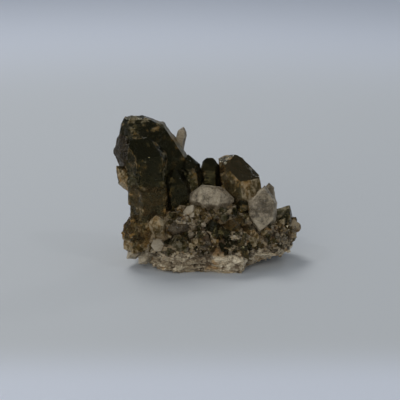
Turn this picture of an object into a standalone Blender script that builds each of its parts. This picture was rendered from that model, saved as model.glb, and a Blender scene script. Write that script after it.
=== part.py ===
"""Smoky quartz cluster: a hand-sized specimen of quartz crystals grown on a lump of rock.

Every crystal is cut out of a block the way a gem cutter would do it, one flat at a time: six
prism sides round the long axis, six rhombohedral faces at the point, and one flat at the root.
The rock is a sphere pulled out into lumps and ground flat where it stands. Each crystal has its
own socket in the rock, and where two crystals grow through each other the smaller one gives way.

Lengths in the tables are millimetres; the frame is +Z up, the front is -Y, and the origin lies
on the ground under the middle of the specimen.
"""

from dataclasses import dataclass
import math

import bmesh
import bpy
from mathutils import Vector
import numpy as np

MM = 0.001
GAP = 0.3  # clearance between pieces that touch
POINT_SLOPE = math.radians(38.2)  # how far a rhombohedral face's normal rises from the prism's
TAPER = math.radians(1.5)  # prism sides lean in towards the point
SIDES = 6
EVEN = (1, 1, 1, 1, 1, 1)
MIDDLE = Vector((0.633, 0.428, 0.0))  # the middle of the finished specimen, in the tables' lengths
LEVEL = (0.0, -0.06, 0.04, -0.03, 0.05, -0.05)  # no crystal's point is quite even

# finish: colour, roughness, how much light passes
FINISHES = {
    "smoky_dark": ((0.020, 0.017, 0.010), 0.12, 0.6),
    "smoky_amber": ((0.060, 0.038, 0.020), 0.14, 0.7),
    "frosted_quartz": ((0.300, 0.280, 0.235), 0.45, 0.3),
    "rock": ((0.260, 0.225, 0.175), 0.85, 0.0),
}


@dataclass(frozen=True)
class Crystal:
    """One crystal: where its axis starts and ends, its width and how its faces are developed.

    sides are the six prism faces' distances from the axis and caps the six point faces' lifts,
    both as shares of the radius, counted from the face nearest the front towards the right.
    """

    name: str
    root: tuple
    tip: tuple
    radius: float
    roll: float = 0.0
    sides: tuple = EVEN
    caps: tuple = LEVEL
    finish: str = "smoky_dark"
    two_points: bool = False
    snaps: tuple = ()

    def frame(self):
        """Root, unit axis, and the two directions across it: towards the front and the right."""
        root = Vector(self.root)
        axis = (Vector(self.tip) - root).normalized()
        front = Vector((0, -1, 0)) if abs(axis.y) < 0.9 else Vector((0, 0, -1))
        ahead = (front - front.project(axis)).normalized()
        return root, axis, ahead, axis.cross(ahead)

    def length(self):
        """Distance from root to point."""
        return (Vector(self.tip) - Vector(self.root)).length


# The crystals, in the order in which they hold their ground: each gives way to those above it.
CRYSTALS = (
    Crystal("lower_left", (-27.9, -11, 8.5), (-29.4, -14, 24.5), 6.3, 8,
            (1, 1, 1, 1, 1.0, 1.05), (0, 0, 0, 0, 0.3, 0.2), "smoky_amber",
            snaps=(((-29.5, -14, 22.3), (-0.12, -0.3, 0.95)),)),
    Crystal("left_column", (-22.8, -7.5, 9), (-24.1, -9, 46), 8.1, 15,
            (1.0, 1.02, 1.0, 1.0, 1.0, 1.05), LEVEL, "smoky_amber",
            snaps=(((-24, -12, 36.5), (0.15, -0.45, 0.88)),)),
    Crystal("leaning_giant", (-5.2, 3, 19), (-35.0, 6.5, 65), 12.0, 29,
            (0.95, 1.0, 0.95, 0.95, 1.0, 0.95), (0.05, 0.1, 0.0, 0.0, 0.2, 0.1),
            snaps=(((-32, 6, 62.6), (-0.06, -0.12, 1)), ((-37.8, 5, 56.5), (-0.92, -0.1, 0.39)))),
    Crystal("chisel_front", (-23.6, -7, 27), (-25.6, -8, 57), 7.9, 14,
            (0.75, 1.0, 1.0, 0.85, 1.05, 1.0), (-0.15, 0.15, 0.15, -0.1, 0.9, 0.9)),
    Crystal("amber_right", (18.6, -1, 14), (14.6, 4, 45.8), 8.8, 32,
            (1, 1, 1, 1, 1.0, 1.05), (0.0, 0.12, 0.0, 0.8, 1.4, 0.8), "smoky_amber",
            snaps=(((13, 2, 45.3), (-0.3, -0.22, 0.92)),)),
    Crystal("dark_blade", (-10.5, -6, 12), (-12.2, -8.5, 43.5), 5.5, 12,
            (0.9, 1.0, 1.1, 0.9, 1.0, 1.1), (-0.2, -0.3, 0, 0, 0.1, 0.0)),
    Crystal("dark_middle", (3.0, 0, 14), (2.6, 2.5, 45.6), 4.5, -6,
            (1, 1.05, 0.95, 1, 1, 0.95), (-0.1, 0.25, 0.2, -0.15, 0.35, 0.2)),
    Crystal("dark_notch", (-3.5, -3, 20), (-7.2, -1.5, 47.5), 4.8, 8,
            (1, 0.9, 1, 1, 0.9, 1), (0, 0.1, 0, 0, 0, 0)),
    Crystal("pale_block", (-7.5, -8.5, 29.5), (13, -10, 28.5), 6.0, -32,
            (0.8, 1.0, 1.0, 0.75, 1.0, 0.9), (0, 0.1, 0.2, 0, 0.2, 0.2), "frosted_quartz", True,
            snaps=(((5, -10, 34.0), (0.33, -0.2, 0.92)),)),
    Crystal("frosted_blade", (24.2, -14, 14), (26.4, -8, 34.8), 5.6, 0,
            (0.5, 1.0, 1.0, 0.5, 1.05, 1.05), (0.6, 0.0, 0.2, 0.4, 0, 0.0), "frosted_quartz", True),
    Crystal("right_end", (29, 0, 8), (38.2, -1.5, 24.5), 4.9, 10,
            (1, 1, 1, 1, 0.9, 1), LEVEL),
    Crystal("front_dome", (4.5, -14, 8), (4.6, -22.5, 24.5), 5.2, 5,
            EVEN, (0, -0.3, -0.4, 0, -0.2, -0.3)),
    Crystal("front_dark", (-7.5, -12, 8), (-11.8, -26.5, 14), 4.5, 20),
    Crystal("back_spike", (-12.5, 7.5, 43), (-9.1, 12, 57.2), 2.0, 0, EVEN, LEVEL, "frosted_quartz"),
    Crystal("pale_stub", (-18.7, -12, 11), (-20.8, -20, 24.5), 3.4, 0,
            (0.9, 1, 1, 0.9, 1, 1), LEVEL, "smoky_amber"),
    Crystal("pale_button", (-18.5, -13, 8), (-20.9, -24.5, 12.8), 2.6, 10, EVEN, LEVEL, "frosted_quartz"),
    Crystal("side_prism", (-4, -15, 19), (-16, -22, 18.6), 2.6, 0,
            (1, 0.9, 1, 1, 0.9, 1), LEVEL, "frosted_quartz"),
    Crystal("glint_sliver", (-12.5, -16, 16), (-4.5, -15, 28), 1.9, 0, EVEN, LEVEL, "frosted_quartz"),
    Crystal("under_amber", (20, -5, 18), (15.5, -13, 29.3), 3.2, 0),
    Crystal("crumb_left", (12, -12, 12), (12.5, -22, 23), 3.4, 10, EVEN, LEVEL, "smoky_amber"),
    Crystal("crumb_right", (18, -11, 10), (20, -20.5, 20), 3.2, -10, EVEN, LEVEL, "smoky_amber"),
    Crystal("sliver_right", (30.5, 1, 17), (28.8, 1.5, 34), 2.0, 0,
            (0.6, 1, 1, 0.6, 1, 1), LEVEL, "frosted_quartz"),
    Crystal("ribbed_upper", (-29.4, 2, 40), (-37.0, -1, 56.5), 5.6, 0,
            (0.9, 1, 1, 0.9, 1, 1), (0, 0, 0, 0, 0.2, 0), "frosted_quartz"),
    Crystal("ribbed_lower", (-27, -3, 31.5), (-38.6, -5.5, 43.0), 4.6, 0,
            (0.9, 1, 1, 0.9, 1, 1), LEVEL, "smoky_amber"),
    Crystal("fringe_outer", (-26, -9, 9), (-34.0, -14.5, 3.4), 2.5, 0, EVEN, LEVEL, "frosted_quartz"),
    Crystal("fringe_inner", (-22, -12, 7), (-28.5, -19, 2.4), 2.2, 15, EVEN, LEVEL, "frosted_quartz"),
    Crystal("back_left", (-15, 5, 14), (-28, 20, 37), 6.0, 10, EVEN, (0, 0, -0.2, 0, 0.1, 0)),
    Crystal("back_middle", (-3, 7, 15), (-6, 23, 38), 5.4, 30, EVEN, (0, -0.1, 0, 0.1, 0, 0)),
    Crystal("back_right", (8, 6, 14), (18, 22, 35), 6.0, 0,
            (1, 1, 0.9, 1, 1, 0.9), (0, 0.2, 0, 0, -0.1, 0), "smoky_amber"),
    Crystal("back_corner", (18, 3, 12), (33, 15, 23), 4.6, 15),
    Crystal("back_low", (2, 10, 10), (6, 27.5, 16), 4.0, 0, EVEN, LEVEL, "smoky_amber"),
    Crystal("back_low_left", (-12, 9, 9), (-20, 25, 14), 3.8, 20),
)


@dataclass(frozen=True)
class Lump:
    """An ellipsoid that the rock swells out to: centre and half-widths."""

    centre: tuple
    reach: tuple


ROCK_HEART = (2, -1, 12)  # every point of the rock's surface can be seen from here
LUMPS = (
    Lump((-1, -2.5, 5), (26, 23, 9)),
    Lump((1, -2, 15), (21, 17, 12)),
    Lump((-22, -5, 12), (10, 11, 9.5)),
    Lump((25, -2, 10.5), (14, 15, 9)),
    Lump((31.5, -1, 10.5), (8, 11, 7)),
    Lump((8, -12, 9), (14, 11, 10)),
)
BOXINESS = 3.0  # 2 makes the lumps ellipsoids, more squares them off
LUMP_BLEND = 5.0  # higher makes the valleys between lumps sharper
ROCK_DETAIL = 5  # icosphere subdivisions
ROCK_REACH = 60.0  # the rock is looked for this far from its heart
ROCK_STEPS = 480
BULGES = ((16.0, 2.2), (7.0, 1.7), (3.8, 1.1))  # (spacing, height) of the rock's own relief


def lattice_value(cell):
    """A fixed number from -1 to 1 for each whole-number cell: its coordinates, scrambled."""
    mixed = cell @ np.array((374761393, 668265263, 1274126177), np.int64)
    mixed = ((mixed ^ (mixed >> 13)) * 1103515245) & 0x7FFFFFFF
    mixed = ((mixed ^ (mixed >> 15)) * 12820163) & 0x7FFFFFFF
    return mixed / 0x3FFFFFFF - 1.0


def smooth_noise(points):
    """Value noise from -1 to 1: the eight lattice values round each point, blended smoothly."""
    cell = np.floor(points).astype(np.int64)
    part = points - cell
    part = part * part * (3.0 - 2.0 * part)
    total = np.zeros(len(points))
    for corner in np.ndindex(2, 2, 2):
        weight = np.where(corner, part, 1.0 - part).prod(axis=1)
        total += weight * lattice_value(cell + corner)
    return total


def rock_swell(points):
    """How deep inside the lumps each point is: 1 on the blended surface, more inside."""
    total = np.zeros(len(points))
    for lump in LUMPS:
        share = np.abs(points - lump.centre) / lump.reach
        total += np.exp(LUMP_BLEND * (1.0 - (share**BOXINESS).sum(axis=1)))
    return total


def rock_surface(directions):
    """The rock's surface point along each direction from its heart, in millimetres."""
    reach = np.zeros(len(directions))
    for distance in np.linspace(0.0, ROCK_REACH, ROCK_STEPS):
        inside = rock_swell(ROCK_HEART + directions * distance) >= 1.0
        reach[inside] = distance
    smooth = ROCK_HEART + directions * reach[:, None]
    for spacing, height in BULGES:
        reach = reach + height * smooth_noise(smooth / spacing + spacing)
    return ROCK_HEART + directions * reach[:, None]


def collection_named(name):
    """A new collection in the scene."""
    collection = bpy.data.collections.new(name)
    bpy.context.scene.collection.children.link(collection)
    return collection


def finish_material(name):
    """A Principled material of one finish."""
    colour, roughness, passes = FINISHES[name]
    material = bpy.data.materials.get(name) or bpy.data.materials.new(name)
    material.use_nodes = True
    shader = material.node_tree.nodes["Principled BSDF"]
    shader.inputs["Base Color"].default_value = (*colour, 1.0)
    shader.inputs["Roughness"].default_value = roughness
    shader.inputs["Metallic"].default_value = 0.0
    shader.inputs["Transmission Weight"].default_value = passes
    material.diffuse_color = (*colour, 1.0)
    return material


def object_from(bm, name, collection):
    """Turns a bmesh in millimetres into an object in metres."""
    bmesh.ops.recalc_face_normals(bm, faces=bm.faces)
    bmesh.ops.translate(bm, vec=-MIDDLE, verts=bm.verts)
    bmesh.ops.scale(bm, vec=(MM, MM, MM), verts=bm.verts)
    mesh = bpy.data.meshes.new(name)
    bm.to_mesh(mesh)
    bm.free()
    thing = bpy.data.objects.new(name, mesh)
    collection.objects.link(thing)
    return thing


def slice_off(bm, point, normal):
    """Cuts away what lies beyond a plane and closes the cut with one flat face."""
    bmesh.ops.bisect_plane(
        bm,
        geom=bm.verts[:] + bm.edges[:] + bm.faces[:],
        dist=1e-6,
        plane_co=point,
        plane_no=normal,
        clear_outer=True,
    )
    rim = [edge for edge in bm.edges if edge.is_boundary]
    if rim:
        bmesh.ops.contextual_create(bm, geom=rim)


def crystal_bmesh(crystal, grow=0.0):
    """A block with the crystal's flats cut on it, each one grow further out than the crystal's."""
    root, axis, ahead, right = crystal.frame()
    length, radius = crystal.length(), crystal.radius
    bm = bmesh.new()
    bmesh.ops.create_cube(bm, size=4 * (length + radius))
    bmesh.ops.translate(bm, vec=root, verts=bm.verts)
    slice_off(bm, root - axis * grow, -axis)
    for i in range(SIDES):
        turn = math.radians(crystal.roll + 360 * i / SIDES)
        out = ahead * math.cos(turn) + right * math.sin(turn)
        side = (out * math.cos(TAPER) + axis * math.sin(TAPER)).normalized()
        waist = root + axis * length / 2 + out * radius * crystal.sides[i]
        slice_off(bm, waist + side * grow, side)
        cap = (out * math.cos(POINT_SLOPE) + axis * math.sin(POINT_SLOPE)).normalized()
        slice_off(bm, root + axis * (length + radius * crystal.caps[i]) + cap * grow, cap)
        if crystal.two_points:
            foot = (out * math.cos(POINT_SLOPE) - axis * math.sin(POINT_SLOPE)).normalized()
            slice_off(bm, root - axis * radius * crystal.caps[i] + foot * grow, foot)
    for place, facing in crystal.snaps:
        facing = Vector(facing).normalized()
        slice_off(bm, Vector(place) + facing * grow, facing)
    bmesh.ops.remove_doubles(bm, verts=bm.verts, dist=1e-4)
    return bm


def rock_bmesh():
    """A sphere pulled out to the rock's surface and ground flat where it stands."""
    bm = bmesh.new()
    bmesh.ops.create_icosphere(bm, subdivisions=ROCK_DETAIL, radius=1.0)
    directions = np.array([vertex.co.normalized() for vertex in bm.verts])
    for vertex, place in zip(bm.verts, rock_surface(directions)):
        vertex.co = place
    slice_off(bm, Vector((0, 0, 0)), Vector((0, 0, -1)))
    return bm


def main_body(mesh):
    """Drops every loose bit of a mesh but the one with the most volume."""
    bm = bmesh.new()
    bm.from_mesh(mesh)
    bmesh.ops.triangulate(bm, faces=bm.faces)
    unseen, bodies = set(bm.faces), []
    while unseen:
        body, edge_of_search = set(), [unseen.pop()]
        while edge_of_search:
            face = edge_of_search.pop()
            body.add(face)
            near = {other for edge in face.edges for other in edge.link_faces} & unseen
            unseen -= near
            edge_of_search.extend(near)
        six_times = sum(f.verts[0].co.dot(f.verts[1].co.cross(f.verts[2].co)) for f in body)
        bodies.append((six_times, body))
    bodies.sort(key=lambda found: found[0])
    loose = [face for _, body in bodies[:-1] for face in body]
    bmesh.ops.delete(bm, geom=loose, context="FACES")
    bm.to_mesh(mesh)
    bm.free()


def boxes_meet(first, second):
    """True if two objects' boxes overlap."""
    a = np.array([vertex.co for vertex in first.data.vertices])
    b = np.array([vertex.co for vertex in second.data.vertices])
    return bool((a.min(0) < b.max(0)).all() and (b.min(0) < a.max(0)).all())


def carve(thing, cutters):
    """Subtracts the cutters from an object, one Boolean each, and keeps its main body."""
    for cutter in cutters:
        if boxes_meet(thing, cutter):
            cut = thing.modifiers.new("socket_" + cutter.name, "BOOLEAN")
            cut.operation = "DIFFERENCE"
            cut.object = cutter
    graph = bpy.context.evaluated_depsgraph_get()
    mesh = bpy.data.meshes.new_from_object(thing.evaluated_get(graph))
    thing.modifiers.clear()
    thing.data = mesh
    main_body(mesh)


def build():
    """Makes the rock and every crystal, each a closed solid clear of the others."""
    for old in list(bpy.data.objects):
        bpy.data.objects.remove(old)
    cluster = collection_named("smoky_quartz_cluster")
    helpers = collection_named("cutters")
    cutters = []
    for crystal in CRYSTALS:
        cutter = object_from(crystal_bmesh(crystal, GAP), "cut_" + crystal.name, helpers)
        cutter.hide_render = True
        cutter.display_type = "WIRE"
        thing = object_from(crystal_bmesh(crystal), crystal.name, cluster)
        carve(thing, cutters)
        thing.data.materials.clear()
        thing.data.materials.append(finish_material(crystal.finish))
        cutters.append(cutter)
    rock = object_from(rock_bmesh(), "rock_matrix", cluster)
    carve(rock, cutters)
    rock.data.materials.clear()
    rock.data.materials.append(finish_material("rock"))


build()
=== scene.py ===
"""Smoky quartz cluster, finished for looking at: clear, amber and frosted crystals on their rock.

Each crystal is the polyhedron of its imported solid, worked out as one closed surface and then
given what growth and wear leave on quartz: grooves across the prism sides, terraces, and
shell-shaped bites where it was knocked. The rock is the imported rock's own surface with broken
facets, layers and grain on it, and a crust of small crystals and crumbs grows out of it.

Lengths are millimetres until a mesh is made; the frame is +Z up with the front towards -Y.
"""

import logging
import math
from dataclasses import dataclass
from enum import Enum

import bpy
import numpy as np
from numpy.typing import NDArray
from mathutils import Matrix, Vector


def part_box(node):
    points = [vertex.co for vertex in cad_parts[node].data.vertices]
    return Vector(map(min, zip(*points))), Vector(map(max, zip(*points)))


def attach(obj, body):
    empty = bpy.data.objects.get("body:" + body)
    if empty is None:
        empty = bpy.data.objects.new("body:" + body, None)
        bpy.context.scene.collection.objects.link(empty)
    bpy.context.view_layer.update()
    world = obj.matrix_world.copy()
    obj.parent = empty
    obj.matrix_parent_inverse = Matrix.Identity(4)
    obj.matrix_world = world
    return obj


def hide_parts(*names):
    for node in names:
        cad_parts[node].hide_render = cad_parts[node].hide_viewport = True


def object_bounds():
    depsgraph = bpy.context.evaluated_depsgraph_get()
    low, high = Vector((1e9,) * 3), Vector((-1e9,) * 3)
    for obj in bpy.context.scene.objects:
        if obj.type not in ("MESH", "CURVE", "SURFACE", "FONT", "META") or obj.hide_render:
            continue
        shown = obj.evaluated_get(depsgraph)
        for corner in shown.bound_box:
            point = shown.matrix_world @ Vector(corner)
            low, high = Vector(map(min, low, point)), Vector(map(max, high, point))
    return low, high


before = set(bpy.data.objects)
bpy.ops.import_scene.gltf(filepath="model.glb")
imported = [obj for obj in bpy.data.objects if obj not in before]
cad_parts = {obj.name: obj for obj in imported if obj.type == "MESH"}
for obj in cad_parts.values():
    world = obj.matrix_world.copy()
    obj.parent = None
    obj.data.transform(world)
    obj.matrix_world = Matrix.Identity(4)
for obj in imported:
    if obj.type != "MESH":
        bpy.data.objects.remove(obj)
CAD_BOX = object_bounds()

Array = NDArray[np.float64]
Triple = tuple[float, float, float]
Six = tuple[float, float, float, float, float, float]

LOG = logging.getLogger("smoky_quartz_cluster")
MM = 0.001
SIDES = 6
POINT_SLOPE = math.radians(38.2)  # how far a rhombohedral face's normal rises from the prism's
TAPER = math.radians(1.5)  # prism sides lean in towards the point
EVEN: Six = (1, 1, 1, 1, 1, 1)
LEVEL: Six = (0.0, -0.06, 0.04, -0.03, 0.05, -0.05)
SKIN_IOR = 1.35  # a weathered skin mirrors less than fresh quartz, whose index is 1.544
WARM_SHEEN = (0.97, 0.86, 0.42, 1.0)  # the tint of light that a thin brown skin throws back
# painted highlight: the white that bright specks are painted, for light thrown back by cracks inside and by
# facets
GLINT_WHITE: Triple = (0.85, 0.84, 0.8)  # cracks inside that throw the light back


# ---------------------------------------------------------------- numbers that look random


def lattice_value(cell: NDArray[np.int64]) -> Array:
    """A fixed number from -1 to 1 for each whole-number cell: its coordinates, scrambled.

    Args:
        cell: whole-number coordinates, one row each.

    Returns:
        One number a row.
    """
    mixed = cell @ np.array((374761393, 668265263, 1274126177), np.int64)
    mixed = ((mixed ^ (mixed >> 13)) * 1103515245) & 0x7FFFFFFF
    mixed = ((mixed ^ (mixed >> 15)) * 12820163) & 0x7FFFFFFF
    return mixed / 0x3FFFFFFF - 1.0


def smooth_noise(points: Array) -> Array:
    """Value noise from -1 to 1: the eight lattice values round each point, blended smoothly.

    Args:
        points: one point a row, in units of the noise's own spacing.

    Returns:
        One number a row.
    """
    cell = np.floor(points).astype(np.int64)
    part = points - cell
    part = part * part * (3.0 - 2.0 * part)
    total = np.zeros(len(points))
    for corner in np.ndindex(2, 2, 2):
        weight = np.where(corner, part, 1.0 - part).prod(axis=1)
        total += weight * lattice_value(cell + corner)
    return total


def fractal_noise(points: Array, octaves: int) -> Array:
    """Smooth noise summed over octaves, each twice as fine and half as strong as the last."""
    total = np.zeros(len(points))
    for octave in range(octaves):
        total += smooth_noise(points * 2.0**octave + 31.7 * octave) / 2.0**octave
    return total


def nearest_seed(points: Array) -> tuple[Array, Array]:
    """Finds each point's nearest seed, of one seed scattered in every unit cell.

    Args:
        points: one point a row, in units of the seeds' spacing.

    Returns:
        The offset from the seed to the point, and three numbers from -1 to 1 that the seed has.
    """
    home = np.floor(points).astype(np.int64)
    best = np.full(len(points), np.inf)
    offset = np.zeros_like(points)
    marks = np.zeros_like(points)
    for step in np.ndindex(3, 3, 3):
        cell = home + np.array(step) - 1
        mark = np.stack([lattice_value(cell + 101 * k) for k in (1, 2, 3)], axis=1)
        away = points - (cell + 0.5 + 0.45 * mark)
        gap = (away**2).sum(axis=1)
        nearer = gap < best
        best[nearer] = gap[nearer]
        offset[nearer] = away[nearer]
        marks[nearer] = mark[nearer]
    return offset, marks


def facets(points: Array, size: float, tilt: float, jump: float) -> Array:
    """Relief of broken facets: each seed's own height, and a slope its own way.

    Args:
        points: the surface's points.
        size: how wide a facet is.
        tilt: how steeply it slopes.
        jump: how far its height differs from its neighbours'.

    Returns:
        A height for each point.
    """
    offset, marks = nearest_seed(points / size)
    return jump * marks[:, 0] + tilt * size * (offset * marks).sum(axis=1)


def ramp_up(values: Array, low: float, high: float) -> Array:
    """0 below low, 1 above high and a smooth rise between them."""
    share = np.clip((values - low) / (high - low), 0.0, 1.0)
    return share * share * (3.0 - 2.0 * share)


def unit(vectors: Array) -> Array:
    """The vectors at length 1."""
    return vectors / np.linalg.norm(vectors, axis=-1, keepdims=True)


# ---------------------------------------------------------------- meshes


def mesh_object(
    name: str, points: Array, faces: list[list[int]], marks: dict[str, Array]
) -> bpy.types.Object:
    """Makes an object at the origin from points in metres.

    Args:
        name: the object's name.
        points: one vertex a row.
        faces: the vertex numbers of each face, anticlockwise from outside.
        marks: vertex attributes by name, one number a vertex.

    Returns:
        The new object, in the scene.
    """
    mesh = bpy.data.meshes.new(name)
    mesh.from_pydata(points.tolist(), [], faces)
    for key, values in marks.items():
        layer = mesh.attributes.new(key, "FLOAT", "POINT")
        layer.data.foreach_set("value", values.astype(np.float32))
    mesh.update()
    thing = bpy.data.objects.new(name, mesh)
    bpy.context.scene.collection.objects.link(thing)
    return thing


def closed_grid_faces(rings: int, around: int) -> list[list[int]]:
    """Faces of a closed surface: a lower pole, rings of vertices going up, and an upper pole.

    Args:
        rings: how many rings there are between the poles.
        around: how many vertices each ring has, anticlockwise from above.

    Returns:
        Quads between the rings and a fan of triangles at each pole.
    """
    ring, place = np.meshgrid(np.arange(rings - 1), np.arange(around), indexing="ij")
    after = (place + 1) % around
    low, high = 1 + ring * around, 1 + (ring + 1) * around
    quads = np.stack([low + place, low + after, high + after, high + place], axis=-1)
    spot = np.arange(around)
    beyond = (spot + 1) % around
    top = 1 + rings * around
    last = top - around
    under = np.stack([np.zeros_like(spot), 1 + beyond, 1 + spot], axis=1)
    over = np.stack([np.full_like(spot, top), last + spot, last + beyond], axis=1)
    return quads.reshape(-1, 4).tolist() + under.tolist() + over.tolist()


def ring_points(rows: Array) -> Array:
    """Lines up a grid's points for closed_grid_faces: its first and last rows become one point."""
    inner = rows[1:-1].reshape(-1, rows.shape[-1])
    return np.concatenate([rows[:1, 0], inner, rows[-1:, 0]])


def closed_surface(
    name: str, rows: Array, marks: dict[str, Array], shift: Array, sharp: float
) -> bpy.types.Object:
    """Makes a smooth-shaded closed surface from a grid of points in millimetres.

    Args:
        name: the object's name.
        rows: the points, in rows by columns by 3; the first and last rows are the poles.
        marks: vertex attributes by name, one number a grid point.
        shift: where the specimen's own origin lies in the frame, in millimetres.
        sharp: the angle in degrees past which an edge is shown sharp.

    Returns:
        The surface, at the origin with its place in its mesh.
    """
    shape = rows.shape[:2]
    lined = {key: ring_points(values.reshape(*shape, 1))[:, 0] for key, values in marks.items()}
    faces = closed_grid_faces(shape[0] - 2, shape[1])
    thing = mesh_object(name, (ring_points(rows) + shift) * MM, faces, lined)
    thing.data.shade_smooth()
    thing.data.set_sharp_from_angle(angle=math.radians(sharp))
    return thing


def bunched(count: int, pull: float = 0.75) -> Array:
    """Numbers from 0 up to but not including 1 that crowd towards both ends."""
    share = np.arange(count) / count
    return share - pull * np.sin(2 * np.pi * share) / (2 * np.pi)


# ---------------------------------------------------------------- shader building


class Wire:
    """One value running through a material, so that shader maths reads as plain arithmetic."""

    def __init__(self, graph: "Graph", socket: bpy.types.NodeSocket) -> None:
        """Keeps the output socket and the graph that it belongs to."""
        self.graph = graph
        self.socket = socket

    def __add__(self, other: "Wire | float") -> "Wire":
        """The sum."""
        return self.graph.maths("ADD", self, other)

    __radd__ = __add__

    def __sub__(self, other: "Wire | float") -> "Wire":
        """The difference."""
        return self.graph.maths("SUBTRACT", self, other)

    def __rsub__(self, other: "Wire | float") -> "Wire":
        """The difference, the other way round."""
        return self.graph.maths("SUBTRACT", other, self)

    def __mul__(self, other: "Wire | float") -> "Wire":
        """The product."""
        return self.graph.maths("MULTIPLY", self, other)

    __rmul__ = __mul__

    def between(self, low: float, high: float) -> "Wire":
        """0 below low, 1 above high and a smooth rise between them."""
        node = self.graph.node(
            "ShaderNodeMapRange",
            {"interpolation_type": "SMOOTHSTEP"},
            {"Value": self, "From Min": low, "From Max": high},
        )
        return Wire(self.graph, node.outputs["Result"])


class Graph:
    """A material's node tree, and the few ways in which nodes are added to it."""

    def __init__(self, name: str) -> None:
        """Makes a material with only its output in it."""
        self.material = bpy.data.materials.new(name)
        self.material.use_nodes = True
        self.tree = self.material.node_tree
        self.tree.nodes.clear()
        self.output = self.node("ShaderNodeOutputMaterial", {}, {})

    def node(self, kind: str, settings: dict, inputs: dict) -> bpy.types.Node:
        """Adds a node, sets it up and connects it.

        Args:
            kind: the node's type.
            settings: its properties, which are set first.
            inputs: a value or a Wire for each input's name or number.

        Returns:
            The node.
        """
        node = self.tree.nodes.new(kind)
        for key, value in settings.items():
            setattr(node, key, value)
        for key, value in inputs.items():
            if isinstance(value, Wire):
                self.tree.links.new(value.socket, node.inputs[key])
            else:
                node.inputs[key].default_value = value
        return node

    def maths(self, operation: str, first: "Wire | float", second: "Wire | float") -> Wire:
        """A Math node on two values."""
        node = self.node("ShaderNodeMath", {"operation": operation}, {0: first, 1: second})
        return Wire(self, node.outputs[0])

    def mark(self, name: str) -> Wire:
        """A number that the piece's own vertices carry."""
        node = self.node("ShaderNodeAttribute", {"attribute_name": name}, {})
        return Wire(self, node.outputs["Fac"])

    def place(self, stretch: Triple = (1, 1, 1)) -> Wire:
        """The point's place in millimetres, stretched along each axis."""
        spot = self.node("ShaderNodeTexCoord", {}, {})
        scale = tuple(s / MM for s in stretch)
        own = Wire(self, spot.outputs["Object"])
        spread = self.node("ShaderNodeVectorMath", {"operation": "MULTIPLY"}, {0: own, 1: scale})
        return Wire(self, spread.outputs[0])

    def noise(self, place: Wire, size: float, detail: float = 3.0, rough: float = 0.55) -> Wire:
        """Noise from 0 to 1 whose lumps are about size across, in the units of place."""
        inputs = {"Vector": place, "Scale": 1 / size, "Detail": detail, "Roughness": rough}
        return Wire(self, self.node("ShaderNodeTexNoise", {}, inputs).outputs[0])

    def cells(self, place: Wire, size: float) -> Wire:
        """The distance to the middle of a cell, of cells about size across."""
        node = self.node("ShaderNodeTexVoronoi", {}, {"Vector": place, "Scale": 1 / size})
        return Wire(self, node.outputs["Distance"])

    def speckle(self, place: Wire, size: float) -> Wire:
        """A number from 0 to 1 of its own for each cell, of cells about size across."""
        cell = self.node("ShaderNodeTexVoronoi", {}, {"Vector": place, "Scale": 1 / size})
        parts = self.node("ShaderNodeSeparateColor", {}, {0: Wire(self, cell.outputs["Color"])})
        return Wire(self, parts.outputs[0])

    def across_prism(self, rate: float, drift: float, third: Wire) -> Wire:
        """Noise from 0 to 1 in lines across a prism.

        It changes quickly along the crystal's axis and slowly with the place, and differs
        wherever a third number does.

        Args:
            rate: how many lines there are in a millimetre.
            drift: how quickly the lines change with the place, against a noise of 1 mm.
            third: the third number.

        Returns:
            The noise.
        """
        slow = self.noise(self.place((drift, drift, drift)), 1.0)
        line = self.node("ShaderNodeCombineXYZ", {}, {0: self.mark("along") * rate, 1: slow, 2: third})
        return self.noise(Wire(self, line.outputs[0]), 1.0, 4.0, 0.7)

    def blend(self, share: "Wire | float", first: "Wire | Triple", second: "Wire | Triple") -> Wire:
        """A colour between two colours."""
        ends = [c if isinstance(c, Wire) else (*c, 1.0) for c in (first, second)]
        node = self.node("ShaderNodeMix", {"data_type": "RGBA"}, {0: share, 6: ends[0], 7: ends[1]})
        return Wire(self, node.outputs[2])

    def tinted(self, colour: Wire, share: "Wire | float", tint: Triple) -> Wire:
        """A colour multiplied by a tint, by that share."""
        node = self.node(
            "ShaderNodeMix",
            {"data_type": "RGBA", "blend_type": "MULTIPLY"},
            {0: share, 6: colour, 7: (*tint, 1.0)},
        )
        return Wire(self, node.outputs[2])

    def bump(self, height: Wire, depth: float, strength: float = 1.0) -> Wire:
        """A normal tilted by a height; depth is what a height of 1 stands for, in millimetres."""
        node = self.node(
            "ShaderNodeBump", {}, {"Height": height, "Distance": depth * MM, "Strength": strength}
        )
        return Wire(self, node.outputs["Normal"])

    def shader(self, inputs: dict) -> Wire:
        """A Principled shader."""
        node = self.node("ShaderNodeBsdfPrincipled", {}, inputs)
        return Wire(self, node.outputs[0])

    def mixed(self, share: "Wire | float", first: Wire, second: Wire) -> Wire:
        """Some of one shader and some of another."""
        node = self.node("ShaderNodeMixShader", {}, {0: share, 1: first, 2: second})
        return Wire(self, node.outputs[0])

    def surface(self, shader: Wire) -> None:
        """Ends the material's surface."""
        self.tree.links.new(shader.socket, self.output.inputs["Surface"])

    def absorb(self, tint: Triple, density: float) -> None:
        """Fills the body with a stain that darkens light by the millimetre."""
        node = self.node("ShaderNodeVolumeAbsorption", {}, {"Color": (*tint, 1.0), "Density": density / MM})
        self.tree.links.new(node.outputs[0], self.output.inputs["Volume"])


# ---------------------------------------------------------------- finishes


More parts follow.
